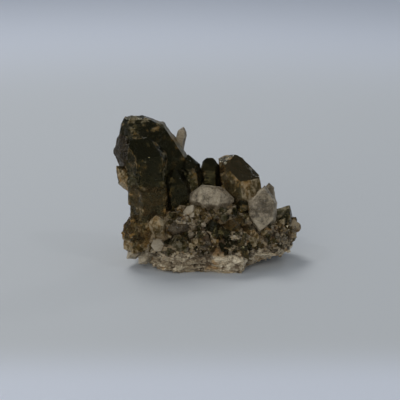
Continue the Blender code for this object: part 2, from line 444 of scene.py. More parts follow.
@dataclass(frozen=True)
class ClearQuartz:
    """Glassy smoky quartz: the stain inside it, and the brown veils under its skin.

    The stain's colour is what is left of white light after 1 / density millimetres or so. body
    tints the glass, veil is the colour of its cloudy parts and vein of the brightest streaks. glow
    is painted light: the brighter brown of light coming through thin parts, laid in patches and
    along the edges.
    """

    slot: str
    body: Triple
    veil: Triple
    glow: Triple
    vein: Triple
    stain: Triple
    density: float
    roughness: float = 0.05

    # sizes of its patterns, in millimetres
    CLOUD = 3.6
    GLOW = 8.0
    STREAK = 2.1
    SPLINTER = 0.9
    GRAIN = 0.5
    # CRACK and CRACK_CLUMP size the painted glints of cracks inside
    CRACK = 0.9
    CRACK_CLUMP = 3.3

    RELIEF = 0.06  # how deep its finest relief is, in millimetres
    CLARITY = 0.94  # how much of it is clear rather than milky

    def material(self) -> bpy.types.Material:
        """The material: glass with fine grooves across the prism, cloudy brown veils in it, and painted
        light: a brown glow, lit edges and white glints.
        """
        graph = Graph(self.slot + "_glass")
        kind = graph.mark("kind")
        veil = graph.mark("veil")
        place = graph.place()
        grooves = graph.across_prism(2.4, 0.08, kind)
        cloud = graph.noise(place, self.CLOUD, 6.0, 0.68)
        grain = graph.noise(place, self.GRAIN, 3.0, 0.6)
        broken = (kind - 1.0).between(0.3, 0.8)
        on_sides = 1.0 - kind.between(0.1, 0.6)
        splinters = broken * graph.noise(place, self.SPLINTER)
        normal = graph.bump(grooves * on_sides * 0.6 + grain * 0.25 + splinters * 1.6, self.RELIEF)
        # painted light: patches where the brown glow of light coming through is painted
        glow = graph.noise(place, self.GLOW, 4.0, 0.6).between(0.46, 0.64)
        # paler, cloudier and browner edges: wear, and painted light along the edges
        edge_wear_and_light = graph.mark("edge") * cloud.between(0.45, 0.62)
        share = (cloud * 0.9 + veil * 0.7 + grooves * on_sides * 0.25 + edge_wear_and_light * 0.3).between(0.72, 1.25)
        streaks = graph.noise(place, self.STREAK, 6.0, 0.75)
        bright = (streaks + veil * 0.18 + edge_wear_and_light * 0.04).between(0.58, 0.78)
        brown = graph.blend((glow * 0.8 + edge_wear_and_light * 0.5).between(0.0, 1.0), self.veil, self.glow)
        # painted highlights: white specks in clumps, for light thrown back by cracks inside
        clumps = graph.noise(place, self.CRACK_CLUMP, 4.0, 0.6).between(0.6, 0.68)
        crack_glints = (1.0 - graph.cells(place, self.CRACK).between(0.06, 0.22)) * clumps
        glass = graph.shader(
            {
                "Base Color": self.body + (1.0,),
                "Roughness": share * 0.25 + broken * 0.15 + self.roughness,
                "Normal": normal,
                "IOR": SKIN_IOR,
                "Specular IOR Level": 0.13,
                "Specular Tint": WARM_SHEEN,
                "Transmission Weight": self.CLARITY,
            }
        )
        # the cloudy part of the skin, which also carries the painted glow, edge light and glints
        cloud_and_glints = graph.shader(
            {
                "Base Color": graph.blend(crack_glints, graph.blend(bright * 0.75, brown, self.vein), GLINT_WHITE),
                "Roughness": 0.42 + grain * 0.2,
                "Normal": normal,
                "Specular IOR Level": 0.2,
                "Specular Tint": WARM_SHEEN,
            }
        )
        graph.surface(graph.mixed((share * 0.85 + crack_glints * 0.8).between(0.0, 1.0), glass, cloud_and_glints))
        graph.absorb(self.stain, self.density)
        return graph.material


@dataclass(frozen=True)
class FrostedQuartz:
    """Quartz whose skin is etched white and dusty, so that it looks nearly solid."""

    slot: str
    pale: Triple
    deep: Triple
    clear: Triple = (0.62, 0.56, 0.43)
    pit_tint: Triple = (0.45, 0.38, 0.3)
    rib_tint: Triple = (0.4, 0.34, 0.25)
    stain_tint: Triple = (0.26, 0.22, 0.15)
    # the painted shade that darkens each face by its own amount
    face_shade_tint: Triple = (0.36, 0.3, 0.22)
    roughness: float = 0.3

    # sizes of its patterns, in millimetres
    PATCH = 2.2
    GRAIN = 0.45
    FLECK = 0.8
    SUGAR = 0.35

    RELIEF = 0.15  # how deep its finest relief is, in millimetres

    def material(self) -> bpy.types.Material:
        """The material: a frosted skin with brown in its hollows and glints on its grain; the glints are
        painted white, the faces get painted shade one by one and the edges painted light.
        """
        graph = Graph(self.slot + "_frost")
        place = graph.place()
        patches = graph.noise(place, self.PATCH, 6.0, 0.7)
        grain = graph.noise(place, self.GRAIN, 4.0, 0.7)
        flecks = graph.cells(place, self.FLECK)
        sugar = graph.speckle(place, self.SUGAR)
        shade = graph.mark("shade")
        edge = graph.mark("edge")
        ribs = graph.across_prism(1.3, 0.1, shade)
        # edge: paler towards the edges, partly wear and partly painted light
        mist = (patches * 0.8 + ribs * 0.16 + sugar * 0.12 + shade * 0.2 + edge * 0.1).between(0.45, 0.95)
        # painted shade: each face is darkened by its own amount, as if lit differently
        own_face = graph.mark("veil").between(0.0, 1.0)
        colour = graph.blend(mist, self.deep, self.pale)
        colour = graph.tinted(colour, (1.0 - grain).between(0.4, 0.8) * 0.7, self.pit_tint)
        colour = graph.tinted(colour, (1.0 - ribs).between(0.55, 0.7) * 0.3, self.rib_tint)
        colour = graph.tinted(colour, (1.0 - shade) * 0.9, self.stain_tint)
        colour = graph.tinted(colour, (1.0 - own_face) * 0.55, self.face_shade_tint)
        # painted highlight: glint specks are painted white, besides being glossy and coated
        glints = (1.0 - flecks.between(0.05, 0.3)) * grain.between(0.5, 0.6)
        height = grain + patches * 0.3 + flecks * 0.5 + ribs * 0.35 + sugar * 0.25
        normal = graph.bump(height, self.RELIEF)
        frost = graph.shader(
            {
                "Base Color": graph.blend(glints * 0.6, colour, GLINT_WHITE),
                "Roughness": self.roughness + grain * 0.2 - glints * 0.4,
                "Normal": normal,
                "IOR": SKIN_IOR,
                "Coat Weight": glints * 0.6,
                "Coat Roughness": 0.08,
            }
        )
        clear = graph.shader(
            {
                "Base Color": self.clear + (1.0,),
                "Roughness": 0.12 + grain * 0.15,
                "Normal": normal,
                "IOR": SKIN_IOR,
                "Transmission Weight": 1.0,
            }
        )
        graph.surface(graph.mixed((mist * 0.6 + glints + 0.4).between(0.0, 1.0), clear, frost))
        return graph.material


@dataclass(frozen=True)
class RockSkin:
    """Crumbly stained rock: cream and tan layers, ochre streaks, dark grains and glints."""

    slot: str
    cream: Triple = (0.92, 0.81, 0.61)
    tan: Triple = (0.36, 0.29, 0.19)
    umber: Triple = (0.085, 0.062, 0.038)
    ochre: Triple = (0.50, 0.30, 0.11)
    seam_tint: Triple = (0.3, 0.23, 0.15)
    clast_tint: Triple = (0.5, 0.47, 0.42)
    # hollow_tint: painted shade in the rock's hollows; on crumbs, a random darkening
    hollow_tint: Triple = (0.16, 0.12, 0.08)
    upper_tint: Triple = (0.48, 0.4, 0.28)
    grain_tint: Triple = (0.55, 0.5, 0.42)
    fleck_tint: Triple = (0.5, 0.45, 0.36)

    def material(self) -> bpy.types.Material:
        """The material: colour by layer, stain and painted shade in the hollows; dull, with small bright
        facets.
        """
        graph = Graph(self.slot + "_skin")
        place = graph.place()
        layers = graph.noise(graph.place((0.5, 0.5, 1.5)), 3.0, 5.0, 0.65)
        seams = graph.noise(graph.place((0.3, 0.3, 1.2)), 2.4, 5.0, 0.65)
        patches = graph.noise(place, 6.0, 5.0, 0.65)
        grain = graph.noise(place, 0.7, 4.0, 0.7)
        specks = graph.cells(place, 1.7)
        low_down = graph.mark("low")
        hollow = graph.mark("hollow")
        shade = graph.mark("shade")
        light = layers.between(0.38, 0.62) * 0.5 + low_down * 0.7 + shade * 0.2 - 0.05
        colour = graph.blend(light, self.tan, self.cream)
        stained = graph.noise(graph.place((0.6, 0.6, 1.5)), 5.0, 4.0, 0.6).between(0.53, 0.64)
        colour = graph.blend(stained * 0.8, colour, self.ochre)
        seam = (seams.between(0.44, 0.49) - seams.between(0.52, 0.57)) * low_down
        colour = graph.tinted(colour, seam * 0.7, self.seam_tint)
        dark = (1.0 - specks.between(0.15, 0.5)) * patches.between(0.5, 0.62) * 0.8
        colour = graph.blend(dark, colour, self.umber)
        colour = graph.tinted(colour, graph.mark("clast") * 0.8, self.clast_tint)
        # painted shade: the rock is darkened where its relief sinks; crumbs are darkened at random
        colour = graph.tinted(colour, hollow * 0.85, self.hollow_tint)
        colour = graph.tinted(colour, (1.0 - low_down) * 0.65, self.upper_tint)
        colour = graph.tinted(colour, grain.between(0.35, 0.7) * 0.3, self.grain_tint)
        glints = grain.between(0.6, 0.66) * (1.0 - low_down * 0.6)
        speckle = graph.speckle(place, 0.45)
        colour = graph.tinted(colour, speckle.between(0.5, 1.0) * 0.5, self.fleck_tint)
        skin = graph.shader(
            {
                "Base Color": colour,
                "Roughness": 0.86 - glints * 0.6,
                "Normal": graph.bump(grain + specks * 0.6 + layers * 1.5, 0.3),
            }
        )
        graph.surface(skin)
        return graph.material


class Finish(Enum):
    """The finishes that the pieces share, each named for its slot in the record."""

    DARK = ClearQuartz(
        "smoky_dark",
        body=(0.11, 0.105, 0.06),
        veil=(0.044, 0.037, 0.012),
        glow=(0.14, 0.08, 0.022),
        vein=(0.30, 0.26, 0.18),
        stain=(0.44, 0.36, 0.16),
        density=0.5,
    )
    AMBER = ClearQuartz(
        "smoky_amber",
        body=(0.42, 0.33, 0.17),
        veil=(0.10, 0.068, 0.024),
        glow=(0.30, 0.17, 0.055),
        vein=(0.58, 0.47, 0.31),
        stain=(0.58, 0.40, 0.14),
        density=0.3,
        roughness=0.07,
    )
    FROSTED = FrostedQuartz("frosted_quartz", pale=(0.58, 0.50, 0.37), deep=(0.18, 0.145, 0.09))
    ROCK = RockSkin("rock")

    @property
    def slot(self) -> str:
        """The record's material slot."""
        return self.value.slot

    @property
    def clear(self) -> bool:
        """Whether light goes through it."""
        return isinstance(self.value, ClearQuartz)


class Wardrobe:
    """Makes each finish's material once and hands it out."""

    def __init__(self) -> None:
        """Starts with nothing made."""
        self.made: dict[Finish, bpy.types.Material] = {}

    def dress(self, piece: bpy.types.Object, finish: Finish, *nodes: str) -> None:
        """Puts a finish on a piece and enters it in the frame.

        Args:
            piece: the finished object, at the origin.
            finish: its finish.
            nodes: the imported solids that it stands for.
        """
        if finish not in self.made:
            self.made[finish] = finish.value.material()
        piece.data.materials.append(self.made[finish])
        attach(piece, "root")
        finish.slot
        if nodes:
            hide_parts(*nodes)
        LOG.info("%s: %d faces, %s", piece.name, len(piece.data.polygons), finish.slot)


# ---------------------------------------------------------------- crystals


class Kind(Enum):
    """What sort of surface a crystal's face is; materials read the number."""

    SIDE = 0.0
    CAP = 1.0
    BROKEN = 2.0


@dataclass(frozen=True)
class Crystal:
    """One quartz crystal: six sides, six point faces, and the places where it was knocked.

    root and tip are the ends of its axis. sides are the prism faces' distances from the axis and
    caps the point faces' lifts, both as shares of the radius, counted from the face nearest the
    front towards the right. snaps are flats where it broke. bites is how many shell-shaped chips
    its edges have, grooves how deep the lines across its sides are and steps how high its growth
    terraces are, in millimetres, and crumble is how broken its whole skin is. veil is how cloudy
    it is, and the next number how free of stain, where 0 is not at all; above 1 the skin is painted
    paler than unstained, which is painted light. tones gives the cloudiness of its sides, then its
    point's faces, then its second point's, and with it painted light and shade: faces made lighter
    or darker one by one, as light would fall on them.
    """

    name: str
    root: Triple
    tip: Triple
    radius: float
    roll: float = 0.0
    sides: Six = EVEN
    caps: Six = LEVEL
    finish: Finish = Finish.DARK
    two_points: bool = False
    snaps: tuple[tuple[Triple, Triple], ...] = ()
    bites: int = 5
    grooves: float = 0.06
    steps: float = 0.14
    crumble: float = 0.0
    veil: float = 0.35
    clean_and_lit: float = 1.0
    tones: tuple[float, ...] = ()

    CRISPNESS = 110.0  # higher makes edges sharper
    CELL = 0.32  # a big crystal's grid spacing
    # EDGE_WIDTH: how far the painted light and wear along an edge reach
    EDGE_WIDTH = 1.7  # how far the light brown of a thin edge reaches
    BULK = 0.55  # how far along the axis the crystal's middle lies
    SHARP = 24.0  # edges steeper than this many degrees are shown sharp

    def directions(self) -> tuple[Array, Array, Array]:
        """The unit axis and the two directions across it: towards the front and the right."""
        axis = unit(np.subtract(self.tip, self.root))
        front = np.array((0.0, -1.0, 0.0)) if abs(axis[1]) < 0.9 else np.array((0.0, 0.0, -1.0))
        ahead = unit(front - axis * (front @ axis))
        return axis, ahead, np.cross(axis, ahead)

    @property
    def length(self) -> float:
        """Distance from root to point."""
        return float(np.linalg.norm(np.subtract(self.tip, self.root)))

    def turns(self) -> Array:
        """The angle of each side round the axis, from the front towards the right."""
        return math.radians(self.roll) + 2 * np.pi * np.arange(SIDES) / SIDES

    def flats(self) -> tuple[Array, Array, Array]:
        """Every flat face: a point on it, the way it faces and its kind's number."""
        axis, ahead, right = self.directions()
        root = np.array(self.root, float)
        turn = self.turns()[:, None]
        out = ahead * np.cos(turn) + right * np.sin(turn)
        width = self.radius * np.array(self.sides)[:, None]
        lift = self.radius * np.array(self.caps)[:, None]
        cap_rise = axis * math.sin(POINT_SLOPE)
        places = [root[None], root + axis * self.length / 2 + out * width, root + axis * (self.length + lift)]
        facings = [
            -axis[None],
            out * math.cos(TAPER) + axis * math.sin(TAPER),
            out * math.cos(POINT_SLOPE) + cap_rise,
        ]
        kinds = [Kind.BROKEN] + [Kind.SIDE] * SIDES + [Kind.CAP] * SIDES
        if self.two_points:
            places.append(root - axis * lift)
            facings.append(out * math.cos(POINT_SLOPE) - cap_rise)
            kinds += [Kind.CAP] * SIDES
        for place, facing in self.snaps:
            places.append(np.array([place], float))
            facings.append(unit(np.array([facing], float)))
            kinds.append(Kind.BROKEN)
        return np.concatenate(places), np.concatenate(facings), np.array([k.value for k in kinds])

    def middle(self) -> Array:
        """A point inside the crystal that sees its whole surface."""
        return np.array(self.root) + self.BULK * np.subtract(self.tip, self.root)

    def contains(self, points: Array, margin: float) -> NDArray[np.bool_]:
        """Whether each point is inside the crystal by more than a margin."""
        places, facings, _ = self.flats()
        depth = (places * facings).sum(axis=1) - points @ facings.T
        return (depth > margin).all(axis=1)

    def corner_angles(self) -> Array:
        """The angles round the axis at which neighbouring sides meet, starting before side 0."""
        turn = self.turns()
        width = np.array(self.sides)
        before, width_before = np.roll(turn, 1), np.roll(width, 1)
        across = width * np.cos(before) - width_before * np.cos(turn)
        up = width_before * np.sin(turn) - width * np.sin(before)
        meet = np.arctan2(across, up)
        return turn - np.mod(turn - meet, 2 * np.pi)

    def columns(self) -> Array:
        """Angles round the axis for the grid, crowded at the crystal's long edges."""
        count = int(np.clip(round(self.radius / self.CELL), 8, 40))
        corner = self.corner_angles()
        span = np.mod(np.roll(corner, -1) - corner, 2 * np.pi)
        return (corner[:, None] + span[:, None] * bunched(count)).ravel()

    def pencil(self, angle: Array) -> Array:
        """A sharpened-pencil profile at each angle: distance from the axis, and height.

        The profile runs from the middle of the root out to a side, up the side to the shoulder
        and in to the point. Rows crowd at its bends, so that the crystal's edges stay crisp.

        Args:
            angle: the grid's angles round the axis.

        Returns:
            An array of rows by angles by (distance, height above the root).
        """
        facing = np.cos(angle[:, None] - self.turns())
        safe = np.where(facing > 0.05, facing, np.nan)
        width = np.nanmin(self.radius * np.array(self.sides) / safe, axis=1)
        slant = width[:, None] * facing / math.tan(POINT_SLOPE)
        lift = self.radius * np.array(self.caps)
        shoulder = (self.length + lift - slant).min(axis=1)
        top = np.full_like(width, (self.length + lift).min())
        nothing = np.zeros_like(width)
        foot = (slant - lift).max(axis=1) if self.two_points else nothing
        bottom = np.full_like(width, (-lift).max()) if self.two_points else nothing
        knots = np.stack(
            [
                np.stack([nothing, bottom], axis=-1),
                np.stack([width, foot], axis=-1),
                np.stack([width, shoulder], axis=-1),
                np.stack([nothing, top], axis=-1),
            ]
        )
        size = self.radius / self.CELL
        point_rows = int(np.clip(1.4 * size, 10, 56))
        side_rows = int(np.clip(0.8 * self.length / self.CELL, 16, 130))
        counts = (point_rows if self.two_points else 7, side_rows, point_rows)
        runs = [
            knots[i] + (knots[i + 1] - knots[i]) * bunched(count)[:, None, None]
            for i, count in enumerate(counts)
        ]
        return np.concatenate(runs + [knots[3:]])

    def bite_spheres(self) -> tuple[Array, Array]:
        """Centres, from the crystal's middle, and radii of the balls that its bites are cut by."""
        rng = np.random.default_rng(hash_name(self.name))
        axis, ahead, right = self.directions()
        angle = rng.choice(self.corner_angles(), self.bites)[:, None]
        height = self.length * rng.uniform(0.45, 0.97, self.bites)[:, None]
        outward = ahead * np.cos(angle) + right * np.sin(angle)
        aim = outward * self.radius + axis * (height - self.BULK * self.length)
        reach, _ = self.reach(unit(aim))
        size = self.radius * rng.uniform(0.25, 0.6, self.bites)
        depth = size * rng.uniform(0.12, 0.3, self.bites)
        return unit(aim) * (reach + size - depth)[:, None], size

    def reach(self, aim: Array) -> tuple[Array, Array]:
        """How far the flat faces are from the middle along each direction.

        A flat face is met at its distance from the middle over the cosine of the angle between
        the direction and the way it faces; the nearest face wins, with a little rounding where
        two are equally near.

        Args:
            aim: unit directions, one a row.

        Returns:
            The distance, and which face is met.
        """
        places, facings, _ = self.flats()
        clear = ((places - self.middle()) * facings).sum(axis=1)
        rate = aim @ facings.T / clear
        first = rate.max(axis=1)
        share = np.clip(rate / first[:, None], 0.0, 1.0) ** self.CRISPNESS
        return 1.0 / (first * share.sum(axis=1) ** (1.0 / self.CRISPNESS)), rate.argmax(axis=1)

    def skin(self, rough: bool = True) -> tuple[Array, dict[str, Array]]:
        """The crystal's surface on its grid, with growth and wear.

        Directions run from the crystal's middle to the pencil profile; each is followed to the
        flat faces, or to a bite's ball if that comes first. Then the surface is moved along its
        own faces' normals by grooves, terraces and, where broken, splinters.

        Args:
            rough: False leaves the flat faces as they are.

        Returns:
            The points, in rows by columns by 3, and the vertex attributes.
        """
        axis, ahead, right = self.directions()
        angle = self.columns()
        profile = self.pencil(angle)
        outward = ahead * np.cos(angle)[:, None] + right * np.sin(angle)[:, None]
        middle = self.middle()
        rise = profile[..., 1:] - self.BULK * self.length
        aim = unit(outward * profile[..., :1] + axis * rise).reshape(-1, 3)
        reach, face = self.reach(aim)
        _, facings, kinds = self.flats()
        kind, facing = kinds[face], facings[face]
        if rough:
            for centre, size in zip(*self.bite_spheres()):
                along = aim @ centre
                inside = size**2 - centre @ centre + along**2
                entry = along - np.sqrt(np.clip(inside, 0.0, None))
                bitten = (inside > 0) & (along > 0) & (entry < reach)
                reach = np.where(bitten, entry, reach)
                kind = np.where(bitten, Kind.BROKEN.value, kind)
                facing = np.where(bitten[:, None], unit(centre - aim * entry[:, None]), facing)
        points = middle + aim * reach[:, None]
        along = (points - self.root) @ axis
        if rough:
            points = points + facing * self.relief(points, along, kind, face, facing)[:, None]
        marks = {
            "along": along,
            "kind": kind,
            "shade": self.shade(points),
            # veil: cloudiness, and each face's painted light and shade
            "veil": self.veils()[face] + 0.45 * (1.0 - ramp_up(along / self.length, 0.05, 0.55)),
            "edge": self.edges(points),
        }
        return points.reshape(*profile.shape[:2], 3), marks

    def shade(self, points: Array) -> Array:
        """How free of stain the skin is, from 0 in stained patches to 1; above 1 it is painted paler than
        unstained, which is painted light.
        """
        return self.clean_and_lit * (0.55 + 0.45 * ramp_up(fractal_noise(points / 3.0 + self.radius, 4), -0.6, 0.4))

    def edges(self, points: Array) -> Array:
        """1 on an edge between two flat faces, falling off over a millimetre or so; the materials paint light
        and wear along it.
        """
        places, facings, _ = self.flats()
        depth = np.abs((places * facings).sum(axis=1) - points @ facings.T)
        return np.exp(-np.partition(depth, 1, axis=1)[:, 1] / self.EDGE_WIDTH)

    def veils(self) -> Array:
        """How cloudy each flat face is, from 0 to 1, and with it painted light and shade: faces made lighter
        or darker one by one, as light would fall on them.
        """
        total = len(self.flats()[2])
        rng = np.random.default_rng(hash_name(self.name) + 5)
        veils = np.clip(self.veil + rng.uniform(-0.35, 0.35, total), 0.0, 1.0)
        veils[1 : 1 + len(self.tones)] = self.tones
        return veils

    def relief(self, points: Array, along: Array, kind: Array, face: Array, facing: Array) -> Array:
        """How far growth and wear lift each point off its flat face, in millimetres.

        Sides carry noise that changes quickly along the axis and slowly across it, folded into
        grooves, and terraces where a slower noise is pushed to one level or another. Caps carry
        fainter terraces. Broken places carry fractal splinters.
        """
        axis, _, _ = self.directions()
        across = (points * np.cross(axis, facing)).sum(axis=1)
        own = face * 7.31 + self.radius
        fine = 1 - np.abs(smooth_noise(np.stack([along / 0.9, across / 12, own], axis=1)))
        finer = 1 - np.abs(smooth_noise(np.stack([along / 0.4, across / 7, own + 9], axis=1)))
        level = smooth_noise(np.stack([along / 4.5, across / 3.5, own + 3], axis=1))
        level = level + 0.5 * smooth_noise(np.stack([along / 1.8, across / 4, own + 5], axis=1))
        terrace = np.tanh(9 * level)
        sides = -self.grooves * (0.7 * fine**3 + 0.5 * finer**3) + self.steps * terrace
        caps = 0.6 * self.steps * np.tanh(7 * smooth_noise(points / 2.8 + own[:, None]))
        splinters = 0.3 * fractal_noise(points / 1.6 + own[:, None], 3)
        small = min(1.0, self.radius / 5)
        lift = np.where(kind == Kind.SIDE.value, sides, np.where(kind == Kind.CAP.value, caps, splinters))
        if self.crumble:
            crumbs = facets(points, 2.6, 0.3, 0.5) + 0.5 * fractal_noise(points / 1.5, 3)
            lift = lift + self.crumble * crumbs
        if self.finish is Finish.FROSTED:
            lift = lift + facets(points, 1.1, 0.16, 0.03) + 0.02 * fractal_noise(points / 0.8, 2)
        swell = 0.3 if self.finish.clear else 0.12
        return small * (lift + swell * smooth_noise(points / 5.0) + 0.02 * smooth_noise(points / 0.7))

    def build(self, shift: Array) -> bpy.types.Object:
        """Makes the crystal's object.

        Args:
            shift: where the specimen's own origin lies in the frame, in millimetres.

        Returns:
            The crystal, at the origin with its place in its mesh.
        """
        return closed_surface(self.name + "_crystal", *self.skin(), shift, self.SHARP)


def hash_name(name: str) -> int:
    """A whole number that a name always gives."""
    return sum((place + 1) * ord(letter) for place, letter in enumerate(name))


A, F = Finish.AMBER, Finish.FROSTED
LEFT_TOP_BREAK = ((-24, -12, 36.5), (0.15, -0.45, 0.88))
GIANT_TOP_BREAK = ((-32, 6, 62.6), (-0.06, -0.12, 1))
GIANT_LEFT_BREAK = ((-37.8, 5, 56.5), (-0.92, -0.1, 0.39))
BLOCK_TOP_BREAK = ((5, -10, 34.0), (0.33, -0.2, 0.92))
AMBER_TOP_BREAK = ((13, 2, 45.3), (-0.3, -0.22, 0.92))
LOWER_LEFT_BREAK = ((-29.5, -14, 22.3), (-0.12, -0.3, 0.95))
# painted light: back_spike, pale_button, glint_sliver and the fringes are set above 1 free of stain, so their
# skins are painted paler than unstained
CRYSTALS = (
    Crystal("lower_left", (-27.9, -11, 8.5), (-29.4, -14, 24.5), 6.3, 8,
            (1, 1, 1, 1, 1.0, 1.05), (0, 0, 0, 0, 0.3, 0.2), A, snaps=(LOWER_LEFT_BREAK,),
            veil=0.5, crumble=0.7, bites=9),
    Crystal("left_column", (-22.8, -7.5, 9), (-24.1, -9, 46), 8.1, 15,
            (1.0, 1.02, 1.0, 1.0, 1.0, 1.05), LEVEL, A, snaps=(LEFT_TOP_BREAK,),
            tones=(0.3, 0.4, 0.3, 0.3, 0.5, 0.4), bites=9),
    Crystal("leaning_giant", (-5.2, 3, 19), (-35.0, 6.5, 65), 12.0, 29,
            (0.95, 1.0, 0.95, 0.95, 1.0, 0.95), (0.05, 0.1, 0.0, 0.0, 0.2, 0.1),
            snaps=(GIANT_TOP_BREAK, GIANT_LEFT_BREAK),
            tones=(0.25, 0.8, 0.4, 0.4, 0.8, 0.3, 0.55, 0.8, 0.5, 0.5, 0.9, 0.6), bites=12),
    Crystal("chisel_front", (-23.6, -7, 27), (-25.6, -8, 57), 7.9, 14,
            (0.75, 1.0, 1.0, 0.85, 1.05, 1.0), (-0.15, 0.15, 0.15, -0.1, 0.9, 0.9),
            tones=(0.25, 0.6, 0.4, 0.4, 0.7, 0.5, 0.3, 0.5, 0.4, 0.4, 0.5, 0.4), steps=0.2, bites=11),
    Crystal("amber_right", (18.6, -1, 14), (14.6, 4, 45.8), 8.8, 32,
            (1, 1, 1, 1, 1.0, 1.05), (0.0, 0.12, 0.0, 0.8, 1.4, 0.8), A, snaps=(AMBER_TOP_BREAK,),
            tones=(0.76, 0.7, 0.4, 0.4, 0.3, 0.5, 0.1, 0.15, 0.2, 0.2, 0.2, 0.2), bites=9),
    Crystal("dark_blade", (-10.5, -6, 12), (-12.2, -8.5, 43.5), 5.5, 12,
            (0.9, 1.0, 1.1, 0.9, 1.0, 1.1), (-0.2, -0.3, 0, 0, 0.1, 0.0), veil=0.1),
    Crystal("dark_middle", (3.0, 0, 14), (2.6, 2.5, 45.6), 4.5, -6,
            (1, 1.05, 0.95, 1, 1, 0.95), (-0.1, 0.25, 0.2, -0.15, 0.35, 0.2)),
    Crystal("dark_notch", (-3.5, -3, 20), (-7.2, -1.5, 47.5), 4.8, 8,
            (1, 0.9, 1, 1, 0.9, 1), (0, 0.1, 0, 0, 0, 0)),
    Crystal("pale_block", (-7.5, -8.5, 29.5), (13, -10, 28.5), 6.0, -32,
            (0.8, 1.0, 1.0, 0.75, 1.0, 0.9), (0, 0.1, 0.2, 0, 0.2, 0.2), F, True, snaps=(BLOCK_TOP_BREAK,),
            tones=(0.55, 0.0, 0.0, 0.3, 0.5, 0.9, 0.35, 0.0, 0.0, 0.3, 0.4, 0.6,
                   0.6, 0.0, 0.0, 0.3, 0.4, 0.9),
            bites=2, steps=0.04),
    Crystal("frosted_blade", (24.2, -14, 14), (26.4, -8, 34.8), 5.6, 0,
            (0.5, 1.0, 1.0, 0.5, 1.05, 1.05), (0.6, 0.0, 0.2, 0.4, 0, 0.0), F, True,
            tones=(0.5, 1.0, 0.6, 0.3, 0.3, 0.7, 0.7, 1.0, 0.6, 0.4, 0.5, 0.8,
                   0.2, 0.7, 0.4, 0.2, 0.2, 0.4),
            bites=4, steps=0.06, clean_and_lit=0.85),
    Crystal("right_end", (29, 0, 8), (38.2, -1.5, 24.5), 4.9, 10, (1, 1, 1, 1, 0.9, 1), veil=0.6),
    Crystal("front_dome", (4.5, -14, 8), (4.6, -22.5, 24.5), 5.2, 5,
            EVEN, (0, -0.3, -0.4, 0, -0.2, -0.3), veil=0.12),
    Crystal("front_dark", (-7.5, -12, 8), (-11.8, -26.5, 14), 4.5, 20, veil=0.9, bites=9),
    Crystal("back_spike", (-12.5, 7.5, 43), (-9.1, 12, 57.2), 2.0, 0, finish=F, clean_and_lit=1.1),
    Crystal("pale_stub", (-18.7, -12, 11), (-20.8, -20, 24.5), 3.4, 0,
            (0.9, 1, 1, 0.9, 1, 1), LEVEL, A, veil=0.95),
    Crystal("pale_button", (-18.5, -13, 8), (-20.9, -24.5, 12.8), 2.6, 10, finish=F, clean_and_lit=1.6, veil=0.8),
    Crystal("side_prism", (-4, -15, 19), (-16, -22, 18.6), 2.6, 0, (1, 0.9, 1, 1, 0.9, 1), LEVEL, F,
            clean_and_lit=0.3, grooves=0.3),
    Crystal("glint_sliver", (-12.5, -16, 16), (-4.5, -15, 28), 1.9, 0, finish=F, clean_and_lit=1.8, veil=0.8),
    Crystal("under_amber", (20, -5, 18), (15.5, -13, 29.3), 3.2),
    Crystal("crumb_left", (12, -12, 12), (12.5, -22, 23), 3.4, 10, finish=A),
    Crystal("crumb_right", (18, -11, 10), (20, -20.5, 20), 3.2, -10, finish=A),
    Crystal("sliver_right", (30.5, 1, 17), (28.8, 1.5, 34), 2.0, 0, (0.6, 1, 1, 0.6, 1, 1), LEVEL, F),
    Crystal("ribbed_upper", (-29.4, 2, 40), (-37.0, -1, 56.5), 5.6, 0,
            (0.9, 1, 1, 0.9, 1, 1), (0, 0, 0, 0, 0.2, 0), F, grooves=0.4, steps=0.3, clean_and_lit=0.0),
    Crystal("ribbed_lower", (-27, -3, 31.5), (-38.6, -5.5, 43.0), 4.6, 0,
            (0.9, 1, 1, 0.9, 1, 1), LEVEL, A, grooves=0.4, steps=0.3, veil=0.6),
    Crystal("fringe_outer", (-26, -9, 9), (-34.0, -14.5, 3.4), 2.5, 0, finish=F, clean_and_lit=1.6, veil=0.8),
    Crystal("fringe_inner", (-22, -12, 7), (-28.5, -19, 2.4), 2.2, 15, finish=F, clean_and_lit=1.6, veil=0.8),
    Crystal("back_left", (-15, 5, 14), (-28, 20, 37), 6.0, 10, EVEN, (0, 0, -0.2, 0, 0.1, 0)),
    Crystal("back_middle", (-3, 7, 15), (-6, 23, 38), 5.4, 30, EVEN, (0, -0.1, 0, 0.1, 0, 0)),
    Crystal("back_right", (8, 6, 14), (18, 22, 35), 6.0, 0,
            (1, 1, 0.9, 1, 1, 0.9), (0, 0.2, 0, 0, -0.1, 0), A),
    Crystal("back_corner", (18, 3, 12), (33, 15, 23), 4.6, 15),
    Crystal("back_low", (2, 10, 10), (6, 27.5, 16), 4.0, 0, finish=A),
    Crystal("back_low_left", (-12, 9, 9), (-20, 25, 14), 3.8, 20),
)


# ---------------------------------------------------------------- rock


@dataclass(frozen=True)
class Lump:
    """A squared-off ellipsoid that the rock swells out to: centre and half-widths."""

    centre: Triple
    reach: Triple


